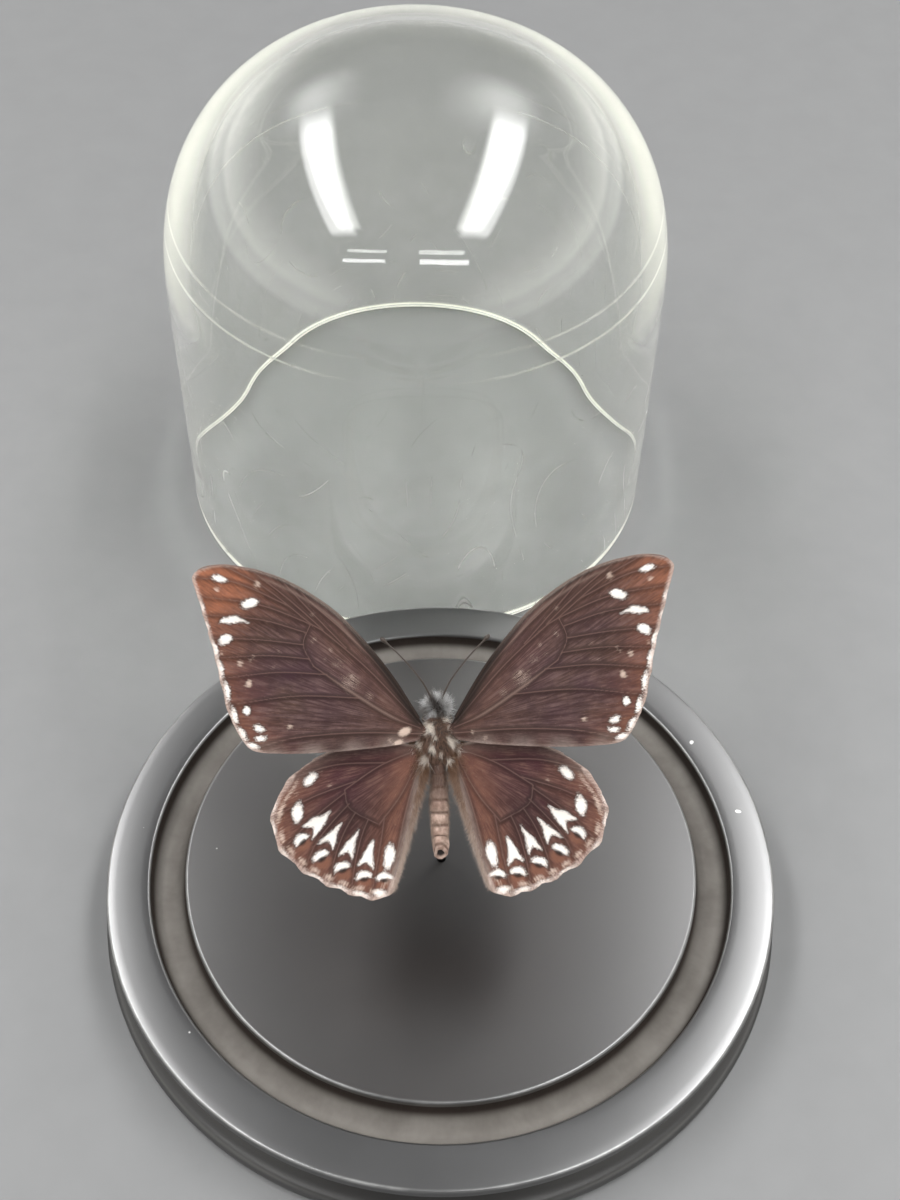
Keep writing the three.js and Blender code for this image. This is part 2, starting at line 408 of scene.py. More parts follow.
dusty = lacquer.mix((0.105, 0.094, 0.083), (0.200, 0.186, 0.168),
                    0.40 * smear.ramp(0.3, 0.7) + 0.22 * wipes + 0.5 * out.ramp(52.0, 56.0))
outer_side = up.ramp(12.4, 11.8) * out.ramp(58, 60)
dull = lacquer.mix(lacquer.mix(bare, dusty, groove_dust), (0.014, 0.013, 0.0125), outer_side)
matt = lacquer.node("ShaderNodeBsdfPrincipled", None, {
    "Base Color": dull, "Roughness": 0.60 + 0.2 * wipes - 0.22 * outer_side,
    "Specular IOR Level": 0.3, "Normal": lacquer.bump(wipes * 0.4 + fine_grain, 0.3, 0.0001)})
on_disc = out.ramp(GROOVE_INNER, GROOVE_INNER - 0.8)
matt_share = in_groove.most(outer_side * (0.38 + 0.45 * neck)).most(on_disc * 0.34)
lacquer_shader = lacquer.node("ShaderNodeMixShader", None, {0: matt_share, 1: satin, 2: matt})
lacquer.node("ShaderNodeOutputMaterial", None, {"Surface": lacquer_shader})

base = turn(base_profile(), (0, 0), 288)
settle(base, "turned_base", lacquer, "lacquered_wood", "base")


# ---- Dome -----------------------------------------------------------------------------
# A mould-blown cloche of clear soda glass with a fire-polished rim. It has been lifted off
# and stands on the table behind the base.
DOME_WALL = 2.2
SHOULDER_WALL = 4.5
WALL_SWELLS = 16.0
DOME_CROWN = 52.0
CROWN_FULLNESS = 2.4
DUST_SHARE = 0.12
RIM_FROST_AND_GLOW = 1.9
RIM_SHARE = 0.85
SHOULDER_SHARE = 0.70
EDGE_HAZE = 0.16
# Heights and shares of two thin pale film lines on the inner crown: painted reflections.
CROWN_REFLECTION_LINES = ((73.0, 0.34), (78.0, 0.22))
dome_low, dome_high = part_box("dome")
dome_radius = (dome_high.x - dome_low.x) / 2 / MM
dome_height = dome_high.z / MM
dome_centre = (dome_low + dome_high) / 2
DOME_SHOULDER = dome_height - DOME_CROWN


def crown(radius, rise, shoulder, steps):
    """The rounded top from the straight wall to the axis."""
    points = []
    for i in range(steps + 1):
        angle = math.pi / 2 * i / steps
        out = radius * max(math.cos(angle), 0) ** (2 / CROWN_FULLNESS)
        rise_here = rise * math.sin(angle) ** (2 / CROWN_FULLNESS)
        points.append((0 if i == steps else out, shoulder + rise_here))
    return points


def attach(mesh, name, values):
    """Writes one number for each point of the mesh."""
    layer = mesh.attributes.new(name, "FLOAT", "POINT")
    layer.data.foreach_set("value", np.asarray(values, dtype=np.float32))


def points_of(mesh):
    flat = np.empty(len(mesh.vertices) * 3)
    mesh.vertices.foreach_get("co", flat)
    return flat.reshape(-1, 3)


def mark_outside(mesh):
    """Marks the points of the outer face, which look away from the dome's axis or up."""
    normals = np.empty(len(mesh.vertices) * 3)
    mesh.vertices.foreach_get("normal", normals)
    away = points_of(mesh) - np.array([dome_centre.x, dome_centre.y, DOME_SHOULDER * 0.5 * MM])
    attach(mesh, "outside", (away * normals.reshape(-1, 3)).sum(axis=1) > 0)


def wall_at(height):
    """Glass thickness: thin at the rim and the top, thick round the shoulder."""
    def ease(t):
        t = min(1, max(0, t))
        return t * t * (3 - 2 * t)
    swell = ease((height - WALL_SWELLS) / (DOME_SHOULDER + 6 - WALL_SWELLS))
    swell *= 1 - 0.5 * ease((height - DOME_SHOULDER - 16) / (DOME_CROWN - 18))
    return DOME_WALL + (SHOULDER_WALL - DOME_WALL) * swell


def dome_profile():
    rim = DOME_WALL / 2
    steps = int((DOME_SHOULDER - WALL_SWELLS) / 4)
    wall = [(dome_radius, WALL_SWELLS + 4 * i) for i in range(steps)]
    outside = wall + crown(dome_radius, DOME_CROWN, DOME_SHOULDER, 44)
    inside = []
    for i, (radius, height) in enumerate(outside):
        before, after = outside[max(0, i - 1)], outside[min(len(outside) - 1, i + 1)]
        along = Vector((after[0] - before[0], after[1] - before[1])).normalized()
        thick = wall_at(height)
        inside.append((max(0, radius - along.y * thick), height + along.x * thick))
    inside[-1] = (0, outside[-1][1] - wall_at(dome_height))
    return [*reversed(inside), *arc(dome_radius - rim, rim, rim, 180, 360, 12), *outside]


# Clear glass under a thin pale film: dust and fine scratches. Two wavy pale lines of film
# round the inner crown are painted reflections, and the film on the rim and on the inner
# shoulder glows: painted light for the light that a thick wall carries to its rim and shoulder.
glass = finish("clear_blown_glass")
glass_wave = glass.noise(16, 1)
glass_across, _, glass_up = glass.axes()
glass_up = glass_up * (1 / MM)
outer_face = glass.attribute("outside")
clear = glass.node("ShaderNodeBsdfPrincipled", None, {
    "Base Color": (0.985, 0.995, 0.97, 1), "Transmission Weight": 1.0, "Roughness": 0.0,
    "IOR": 1.5,
    "Normal": glass.bump(glass_wave, 0.25, 0.002)})
# The frosted bottom of the rim is a film that also glows: a painted highlight where the rim
# catches light.
rim_frost_and_glow = glass_up.ramp(RIM_FROST_AND_GLOW, RIM_FROST_AND_GLOW * 0.4)
from_within = glass.node("ShaderNodeNewGeometry", output="Backfacing")
slanting = glass.node("ShaderNodeLayerWeight", None, {"Blend": 0.5}, output="Facing")
# Pale film on the inner face of the shoulder, seen at a slant; it also glows, painted light for
# the light the thick wall pipes along.
shoulder_film_and_glow = (glass_up.ramp(DOME_SHOULDER - 2, DOME_SHOULDER + 6) * glass_up.ramp(110, 100)
                 * slanting.ramp(0.20, 0.36) * from_within)
grain = glass.noise(60, 2, 0.75)
dust = grain.ramp(0.25, 0.85)
scratches = 0.0
for scale, turns, tall, patches in ((31, 9.3, 0.7, (0.50, 0.56)), (23, 12.7, 0.5, (0.46, 0.40))):
    bent = glass.noise(scale, 0, 0.3, stretch=(1, 1, tall))
    line = ((bent * turns + tall).wrap() - 0.5).size().ramp(0.018, 0.003)
    scratches = line * grain.ramp(*patches) + scratches
foot_haze = glass_up.ramp(74, 46)
haze = DUST_SHARE * dust * (0.25 + 0.75 * foot_haze) + EDGE_HAZE * slanting.ramp(0.55, 0.98)
film_share = (haze + 0.35 * scratches * foot_haze) * outer_face + shoulder_film_and_glow * SHOULDER_SHARE
# Two thin wavy pale film lines round the inner crown, away from the axis: painted reflections.
ring_gap = (glass_across - dome_centre.x).size().ramp(0.006, 0.030) * (1 - outer_face)
for ring_height, ring_share in CROWN_REFLECTION_LINES:
    ring = (glass_up + glass_wave * 1.6 - ring_height).size().ramp(0.50, 0.12)
    film_share = film_share + ring_share * ring * ring_gap * glass_wave.ramp(0.38, 0.52)
# The film glows on the rim and on the inner shoulder: painted light, not a lamp.
film = glass.node("ShaderNodeBsdfPrincipled", None, {
    "Base Color": (0.96, 0.96, 0.90, 1), "Roughness": 0.6, "Emission Strength": 1.0,
    "Emission Color": glass.mix((0, 0, 0), (0.80, 0.81, 0.74),
                                (rim_frost_and_glow * 0.62).most(shoulder_film_and_glow * 0.67))})
glass_shader = glass.node("ShaderNodeMixShader", None,
                          {0: film_share.most(rim_frost_and_glow * RIM_SHARE), 1: clear, 2: film})
glass.node("ShaderNodeOutputMaterial", None, {"Surface": glass_shader})

dome = turn(dome_profile(), (dome_centre.x, dome_centre.y), 256)
mark_outside(dome.data)
settle(dome, "glass_dome", glass, "dome_glass", "dome")


# ---- Mounting pin ---------------------------------------------------------------------
# A straight blackened steel wire, pushed into the hole in the middle of the base and up
# into the thorax from below, so that the insect stands free.
PIN_RADIUS = 0.6

pin_low, pin_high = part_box("mounting_pin")
pin_foot = pin_low.z / MM
pin_head = pin_high.z / MM
pin_black = finish("blackened_steel")
pin_draw = pin_black.noise(900, 3, stretch=(1, 1, 0.03))
pin_black.surface(
    base_color=pin_black.mix((0.03, 0.03, 0.032), (0.10, 0.095, 0.09), pin_draw),
    metallic=1.0,
    roughness=0.32 + 0.25 * pin_draw,
    normal=pin_black.bump(pin_draw, 0.2, 0.00003))
pin = turn([(0, pin_foot), (PIN_RADIUS - 0.1, pin_foot), (PIN_RADIUS, pin_foot + 0.15),
            (PIN_RADIUS, pin_head - 4), (PIN_RADIUS * 0.7, pin_head - 1), (0, pin_head)],
           (0, 0), 32)
settle(pin, "pin_wire", pin_black, "pin_steel", "mounting_pin")


# ---- Thorax ---------------------------------------------------------------------------
# The stout middle of the dried insect: a dark shell under soft hair, with tufts of cream
# and grey scales. It is glued on the pin, nose up, and carries wings, legs and head.
INSECT_SIDE = -1.1
INSECT_HEIGHT = 55.25
BODY_TILT = 30
BODY_TURN = 2.8
BODY = (Matrix.Translation(Vector((INSECT_SIDE, 0, INSECT_HEIGHT)) * MM)
        @ Matrix.Rotation(math.radians(BODY_TILT), 4, "X")
        @ Matrix.Rotation(math.radians(BODY_TURN), 4, "Z"))
THORAX_CENTRE = (0, -0.7, -0.4)
THORAX_HALF = (2.9, 4.1, 2.8)
# Tufts as (to the right, towards the head, radius).
THORAX_TUFTS = [(-3.0, -1.1, 0.95), (-1.2, 1.2, 1.25), (-1.0, -2.5, 0.8), (2.4, -1.0, 1.1),
                (-2.3, -4.0, 0.9), (0.5, -3.3, 0.5), (1.2, 2.9, 0.7), (-0.4, -0.6, 0.45),
                (-3.7, 0.8, 0.55), (3.6, -2.4, 0.7), (1.9, 1.2, 0.5), (1.7, -4.2, 0.55),
                (-4.4, -2.2, 0.4), (4.2, -0.2, 0.5), (-0.2, -4.9, 0.45)]


def smooth_step(value, low, high):
    t = np.clip((value - low) / (high - low), 0, 1)
    return t * t * (3 - 2 * t)


def bell(away, width):
    return np.exp(-(away / width) ** 2)


def move_points(mesh, points):
    mesh.vertices.foreach_set("co", np.asarray(points, dtype=np.float32).ravel())
    mesh.update()


def ball(centre, half, segments, rings):
    """A round form of the given half sizes, in mm, on the insect's own axes."""
    rest()
    bpy.ops.mesh.primitive_uv_sphere_add(segments=segments, ring_count=rings, radius=MM)
    shell = bpy.context.object
    bpy.ops.object.mode_set(mode="EDIT")
    bpy.ops.mesh.select_all(action="SELECT")
    bpy.ops.transform.resize(value=half)
    bpy.ops.transform.translate(value=Vector(centre) * MM)
    bpy.ops.object.mode_set(mode="OBJECT")
    bpy.ops.object.shade_smooth()
    return shell


def joined(pieces):
    rest()
    for piece in pieces:
        piece.select_set(True)
    bpy.context.view_layer.objects.active = pieces[0]
    if len(pieces) > 1:
        bpy.ops.object.join()
    return pieces[0]


def tuft_share(points, tufts):
    """How far each point, in mm, lies inside a pale tuft: 1 in its middle, 0 outside."""
    x, y = points[:, 0], points[:, 1]
    uneven = 0.20 * np.sin(3.7 * x + 2.1 * y) + 0.14 * np.sin(6.1 * y - 4.3 * x + 1.2)
    share = np.zeros(len(points))
    for to_right, to_head, radius in tufts:
        away = np.hypot(1.15 * (x - to_right), 0.82 * (y - to_head)) + uneven * radius
        share = np.maximum(share, np.clip((radius - away) / (0.55 * radius), 0, 1))
    return np.where(points[:, 2] > -1.2, share, 0)


def hairs(roots, ways, lengths, thickness, seed):
    """Tapered three-sided hairs in one mesh, in mm: each bends a little as it goes."""
    chance = np.random.default_rng(seed)
    count = len(roots)
    ways = ways / np.linalg.norm(ways, axis=1, keepdims=True)
    other = np.cross(ways, chance.normal(size=(count, 3)))
    other /= np.linalg.norm(other, axis=1, keepdims=True)
    third = np.cross(ways, other)
    bend = chance.normal(0, 0.22, (count, 3)) * lengths[:, None]
    middle = roots + ways * lengths[:, None] * 0.5 + bend * 0.35
    tip = roots + ways * lengths[:, None] + bend
    rings = []
    for centre, radius in ((roots, thickness), (middle, thickness * 0.75)):
        for angle in (0, 2.0944, 4.1888):
            rings.append(centre + radius * (math.cos(angle) * other + math.sin(angle) * third))
    points = np.stack([*rings, tip], axis=1).reshape(-1, 3)
    pattern = [(2, 1, 0), (0, 1, 4, 3), (1, 2, 5, 4), (2, 0, 3, 5),
               (3, 4, 6), (4, 5, 6), (5, 3, 6)]
    faces = [tuple(7 * i + k for k in face) for i in range(count) for face in pattern]
    mesh = bpy.data.meshes.new("hair")
    mesh.from_pydata((points * MM).tolist(), [], faces)
    coat = bpy.data.objects.new("hair", mesh)
    bpy.context.scene.collection.objects.link(coat)
    attach(mesh, "shade", np.repeat(chance.random(count), 7))
    attach(mesh, "tip", np.tile([0, 0, 0, 0.5, 0.5, 0.5, 1.0], count))
    return coat


def round_coat(centre, half, count, length, lean, thickness, seed):
    """Roots and ways of hair all over a round form; lean combs it along the body."""
    chance = np.random.default_rng(seed)
    out = chance.normal(size=(count, 3))
    out /= np.linalg.norm(out, axis=1, keepdims=True)
    roots = np.array(centre) + out * np.array(half) * 0.97
    normal = out / np.array(half)
    normal /= np.linalg.norm(normal, axis=1, keepdims=True)
    ways = normal + np.array(lean) + chance.normal(0, 0.25, (count, 3))
    lengths = length * chance.uniform(0.55, 1.2, count)
    return roots, hairs(roots, ways, lengths, thickness, seed + 1)


def body_shell(name, dark, light, rough):
    """Dried insect skin: dark, waxy and finely pitted, with pale scales on the tufts."""
    look = finish(name)
    cloud = look.noise(900, 4)
    pits = look.noise(5200, 2)
    tone = look.mix(dark, light, cloud)
    look.surface(
        base_color=look.mix(tone, (0.62, 0.57, 0.50), look.attribute("pale") * 0.9),
        roughness=rough + 0.2 * cloud,
        normal=look.bump(pits, 0.4, 0.00004))
    return look


def coat_look(name, dark, light, pale):
    """Fine dull hair, each a little different, lighter at its tip."""
    look = finish(name)
    share = 0.6 * look.attribute("shade") + 0.4 * look.attribute("tip")
    tone = look.mix(dark, light, share)
    tuft = look.attribute("pale") * (0.7 + 0.3 * look.attribute("shade"))
    look.surface(base_color=look.mix(tone, pale, tuft), roughness=0.62)
    return look


thorax = ball(THORAX_CENTRE, THORAX_HALF, 56, 36)
skin = points_of(thorax.data) / MM
wobble = 1 + 0.03 * np.sin(2.1 * skin[:, 1] + 0.5) + 0.02 * np.sin(3.3 * skin[:, 0])
back_groove = 0.25 * np.exp(-(skin[:, 0] / 0.35) ** 2) * (skin[:, 2] > 0)
skin[:, [0, 2]] *= wobble[:, None]
skin[:, 2] -= back_groove
move_points(thorax.data, skin * MM)
attach(thorax.data, "pale", tuft_share(skin, THORAX_TUFTS))
thorax.data.transform(BODY)
thorax_skin = body_shell("dark_thorax_skin", (0.020, 0.014, 0.011), (0.06, 0.038, 0.027), 0.45)
settle(thorax, "thorax_shell", thorax_skin, "insect_body", "thorax")

roots, thorax_coat = round_coat(THORAX_CENTRE, THORAX_HALF, 5200, 1.15, (0, -0.9, 0), 0.035, 11)
attach(thorax_coat.data, "pale", np.repeat(tuft_share(roots, THORAX_TUFTS), 7))
thorax_coat.data.transform(BODY)
thorax_hair = coat_look("thorax_hair", (0.040, 0.021, 0.014), (0.30, 0.175, 0.120),
                        (0.86, 0.80, 0.72))
settle(thorax_coat, "thorax_fur", thorax_hair, "insect_body")

flanks = []
for side in (-1, 1):
    chance = np.random.default_rng(15 + side)
    out = 1.6 + 3.4 * chance.random(2600) ** 1.3
    along = 1.8 - 8.2 * chance.random(2600)
    height = 0.9 - 0.35 * (out - 1.6) - 0.12 * np.maximum(-along - 2, 0)
    roots = np.stack([side * out, along, height], axis=1)
    ways = np.array([side * 0.35, -0.75, 0.35]) + chance.normal(0, 0.30, (2600, 3))
    lengths = chance.uniform(0.6, 1.3, 2600) * (1 + 0.9 * smooth_step(-along, 2.0, 6.0))
    flank = hairs(roots, ways, lengths, 0.03, 17 + side)
    attach(flank.data, "pale", np.repeat(tuft_share(roots, THORAX_TUFTS), 7))
    flanks.append(flank)
flanks = joined(flanks)
flanks.data.transform(BODY)
flank_hair = coat_look("flank_hair", (0.040, 0.020, 0.012), (0.30, 0.165, 0.095),
                       (0.86, 0.80, 0.72))
settle(flanks, "flank_fur", flank_hair, "insect_body")


# ---- Head -----------------------------------------------------------------------------
# A small round head with two bulging faceted eyes, a pair of hairy palps and the coiled
# tongue between them, in a ruff of long pale grey hair.
HEAD_CENTRE = (0, 5.1, -0.5)
HEAD_HALF = (1.7, 1.35, 1.5)
HEAD_TUFTS = [(1.5, 6.0, 0.95), (-1.5, 5.8, 0.65), (0.1, 6.5, 0.6), (-0.5, 3.8, 0.75),
              (1.8, 4.5, 0.5), (-2.0, 4.5, 0.45)]


def rod(points, radii, sides, name):
    """A bent tube through points in mm, with a radius for each, and closed ends."""
    curve = bpy.data.curves.new(name, "CURVE")
    curve.dimensions = "3D"
    curve.bevel_depth = MM
    curve.bevel_resolution = max(0, sides // 4 - 1)
    curve.use_fill_caps = True
    spline = curve.splines.new("POLY")
    spline.points.add(len(points) - 1)
    for place, point, radius in zip(spline.points, points, radii):
        place.co = (*(Vector(point) * MM), 1)
        place.radius = radius
    piece = bpy.data.objects.new(name, curve)
    bpy.context.scene.collection.objects.link(piece)
    rest()
    piece.select_set(True)
    bpy.context.view_layer.objects.active = piece
    bpy.ops.object.convert(target="MESH")
    bpy.ops.object.shade_smooth()
    return bpy.context.object


def smooth_path(points, count):
    """Evenly spaced points on a smooth line through the given ones."""
    knots = np.array(points, float)
    knots = np.vstack([2 * knots[0] - knots[1], knots, 2 * knots[-1] - knots[-2]])
    t = np.linspace(0, 1, 24, endpoint=False)[:, None]
    spans = [0.5 * (2 * b + (c - a) * t + (2 * a - 5 * b + 4 * c - d) * t * t
                    + (3 * b - a - 3 * c + d) * t ** 3)
             for a, b, c, d in zip(knots, knots[1:], knots[2:], knots[3:])]
    line = np.vstack([*spans, knots[-2:-1]])
    run = np.concatenate([[0], np.cumsum(np.linalg.norm(np.diff(line, axis=0), axis=1))])
    even = np.linspace(0, run[-1], count)
    return np.stack([np.interp(even, run, line[:, k]) for k in range(line.shape[1])], axis=1)


head = ball(HEAD_CENTRE, HEAD_HALF, 40, 26)
attach(head.data, "pale", tuft_share(points_of(head.data) / MM, HEAD_TUFTS))
head.data.transform(BODY)
settle(head, "head_shell", body_shell("dark_head_skin", (0.018, 0.013, 0.011),
                                      (0.05, 0.034, 0.026), 0.4), "insect_body", "head")

eyes = []
for side in (-1, 1):
    eyes.append(ball((side * 1.25, 5.55, -0.45), (0.85, 0.95, 1.05), 40, 26))
eyes = joined(eyes)
eyes.data.transform(BODY)
eye_look = finish("faceted_eye")
facets = eye_look.cells(9000)
eye_look.surface(
    base_color=eye_look.mix((0.010, 0.006, 0.005), (0.05, 0.028, 0.018), eye_look.noise(700)),
    roughness=0.16,
    coat_weight=0.4,
    normal=eye_look.bump(facets, 0.35, 0.00003))
settle(eyes, "eyes", eye_look, "insect_body")

tongue = []
for i in range(70):
    angle = i * 0.22
    out = 0.95 - 0.0105 * i
    tongue.append((0.0, 6.2 + out * math.cos(angle), -1.9 + out * math.sin(angle)))
tongue = rod(tongue, [0.13 - 0.0007 * i for i in range(70)], 8, "tongue")
tongue.data.transform(BODY)
tongue_look = finish("coiled_tongue")
tongue_look.surface(
    base_color=tongue_look.mix((0.05, 0.026, 0.016), (0.14, 0.08, 0.05),
                               tongue_look.noise(1500)),
    roughness=0.4,
    normal=tongue_look.bump(tongue_look.noise(6000, 2), 0.4, 0.00003))
settle(tongue, "tongue", tongue_look, "insect_body")

ruff_roots, ruff = round_coat(HEAD_CENTRE, HEAD_HALF, 3600, 1.6, (0, 0.1, 0.2), 0.03, 21)
ruff_pale = np.clip(0.20 + 0.85 * tuft_share(ruff_roots, HEAD_TUFTS)
                    + 0.35 * np.sin(3.1 * ruff_roots[:, 0] + 2.2 * ruff_roots[:, 1]), 0, 1)
attach(ruff.data, "pale", np.repeat(ruff_pale, 7))
palps = []
for side in (-1, 1):
    chance = np.random.default_rng(31 + side)
    reach = chance.random(420)
    stem = np.stack([side * (0.45 + 0.25 * reach), 6.3 + 1.3 * reach, -1.0 + 0.9 * reach], 1)
    ways = np.array([side * 0.4, 0.8, 0.45]) + chance.normal(0, 0.4, (420, 3))
    palp = hairs(stem, ways, 0.55 * chance.uniform(0.6, 1.2, 420), 0.035, 41 + side)
    attach(palp.data, "pale", np.repeat(np.clip(1.1 - reach, 0, 1), 7))
    palps.append(palp)
ruff = joined([ruff, *palps])
ruff.data.transform(BODY)
settle(ruff, "head_fur", coat_look("head_hair", (0.030, 0.025, 0.023), (0.20, 0.175, 0.16),
                                   (0.80, 0.80, 0.80)), "insect_body")


# ---- Abdomen --------------------------------------------------------------------------
# A slim dried abdomen of seven rings, each lapping the next, tan with brown joints. Its
# tip has dried open into a small hole, whose inside is painted near-black as shade.
ABDOMEN_START = (0, -4.2, -0.6)
ABDOMEN_LENGTH = 15.4
RINGS = 7
ABDOMEN_DROOP = 5.0


def abdomen_girth(part):
    """Radius in mm, by the part of the length from the root."""
    return 0.95 + 0.62 * math.sin(math.pi * min(0.78, 0.06 + 0.80 * part))


def abdomen_profile():
    """Radius and distance from the root, in mm: rings with a lip at each joint."""
    points = [(0, 0), (0.9, 0)]
    for ring in range(RINGS):
        for step in range(8):
            part = (ring + step / 8) / RINGS
            swell = 0.10 * math.sin(math.pi * step / 8) - (0.16 if step == 0 else 0)
            points.append((abdomen_girth(part) + swell, 0.4 + ABDOMEN_LENGTH * part))
    end = 0.4 + ABDOMEN_LENGTH
    return points + [(1.30, end), (1.26, end + 0.35), (1.02, end + 0.62), (0.74, end + 0.55),
                     (0.58, end + 0.2), (0.50, end - 0.6), (0, end - 0.9)]


abdomen = turn(abdomen_profile(), (0, 0), 64)
turn_back = (Matrix.Translation(Vector(ABDOMEN_START) * MM)
             @ Matrix.Rotation(math.radians(90 + ABDOMEN_DROOP), 4, "X"))
rings = points_of(abdomen.data) / MM
along_body = rings[:, 2].copy()
bore = np.hypot(rings[:, 0], rings[:, 1])
hollow = (along_body > ABDOMEN_LENGTH - 1.2) & (bore < 0.60)
slant = smooth_step(along_body, ABDOMEN_LENGTH - 3.0, ABDOMEN_LENGTH)
rings[:, 2] -= 0.95 * rings[:, 1] * slant
dent = 1 + 0.05 * np.sin(2.3 * along_body) * np.cos(2 * np.arctan2(rings[:, 1], rings[:, 0]))
dent *= 1 + 0.16 * slant * np.cos(3 * np.arctan2(rings[:, 1], rings[:, 0]) + 0.7)
rings[:, 0] *= dent * 0.96
rings[:, 1] *= dent
move_points(abdomen.data, rings * MM)
joint_near = np.abs((along_body - 0.4) / (ABDOMEN_LENGTH / RINGS) % 1.0)
attach(abdomen.data, "joint", np.minimum(joint_near, 1 - joint_near))
attach(abdomen.data, "along", np.clip(along_body / ABDOMEN_LENGTH, 0, 1))
attach(abdomen.data, "hollow", hollow.astype(float))
abdomen.data.transform(BODY @ turn_back)
tan = finish("tan_abdomen")
tan_cloud = tan.noise(800, 4)
tan_tone = tan.mix((0.27, 0.165, 0.125), (0.56, 0.41, 0.34), tan_cloud.ramp(0.3, 0.7))
tan_root = tan.mix((0.075, 0.036, 0.024), tan_tone, tan.attribute("along").ramp(0.22, 0.66))
tan_ring = tan.mix(tan_root, (0.12, 0.06, 0.042), tan.attribute("joint").ramp(0.20, 0.02) * 0.85)
# The inside of the hole at the tip is painted near-black: painted shade.
tan.surface(
    base_color=tan.mix(tan_ring, (0.02, 0.012, 0.010), tan.attribute("hollow")),
    roughness=0.55 + 0.2 * tan_cloud,
    normal=tan.bump(tan.noise(4200, 3), 0.5, 0.00006))
settle(abdomen, "abdomen_rings", tan, "insect_body", "abdomen")

chance = np.random.default_rng(61)
share = 0.93 * chance.random(2600) ** 0.8
angle = chance.random(2600) * 2 * math.pi
girth = np.array([abdomen_girth(part) for part in share])
abdomen_roots = np.stack([girth * np.cos(angle), girth * np.sin(angle),
                          0.4 + ABDOMEN_LENGTH * share], axis=1)
ways = np.stack([np.cos(angle), np.sin(angle), np.full(2600, 2.2)], axis=1)
ways += chance.normal(0, 0.25, (2600, 3))
down = hairs(abdomen_roots, ways, (1.5 - 1.1 * share) * chance.uniform(0.5, 1.1, 2600), 0.022, 62)
attach(down.data, "pale", np.repeat(share * 0.8, 7))
down.data.transform(BODY @ turn_back)
settle(down, "abdomen_down", coat_look("abdomen_hair", (0.05, 0.028, 0.018),
                                       (0.20, 0.12, 0.085), (0.50, 0.38, 0.30)), "insect_body")


# ---- Legs -----------------------------------------------------------------------------
# Six thin dried legs, drawn in under the thorax on each side of the pin.
LEG_ROUTES = [
    [(0.9, 1.9, -2.3), (2.6, 3.3, -4.2), (1.7, 5.0, -6.2), (1.9, 6.1, -8.0)],
    [(1.1, -0.4, -2.8), (3.1, 0.5, -5.4), (2.2, 2.2, -8.2), (2.8, 3.0, -9.9)],
    [(1.1, -2.6, -2.5), (3.0, -3.6, -5.0), (2.2, -5.4, -7.6), (2.6, -6.6, -9.4)],
]
legs = []
for side in (-1, 1):
    for route in LEG_ROUTES:
        line = smooth_path([(side * x, y, z) for x, y, z in route], 26)
        share = np.linspace(0, 1, 26)
        radii = 0.26 - 0.19 * share ** 0.7
        radii += 0.05 * np.exp(-((share - 0.36) / 0.05) ** 2)
        radii += 0.03 * np.exp(-((share - 0.7) / 0.04) ** 2)
        legs.append(rod([tuple(p) for p in line], radii.tolist(), 8, "leg"))
legs = joined(legs)
legs.data.transform(BODY)
leg_look = finish("dried_leg")
leg_look.surface(
    base_color=leg_look.mix((0.03, 0.019, 0.014), (0.11, 0.068, 0.045), leg_look.noise(1100)),
    roughness=0.5,
    normal=leg_look.bump(leg_look.noise(5000, 2), 0.5, 0.00004))
settle(legs, "legs", leg_look, "insect_body")


# ---- Wings ----------------------------------------------------------------------------
# Four dried wings: a skin under 0.1 mm thick on stiff veins, covered with matt brown
# scales, with white spots, arrowheads and crescents. Each is glued into the thorax.
WING_SKIN = 0.11
OUTLINE_STEPS = 300
REACH_STEPS = 120

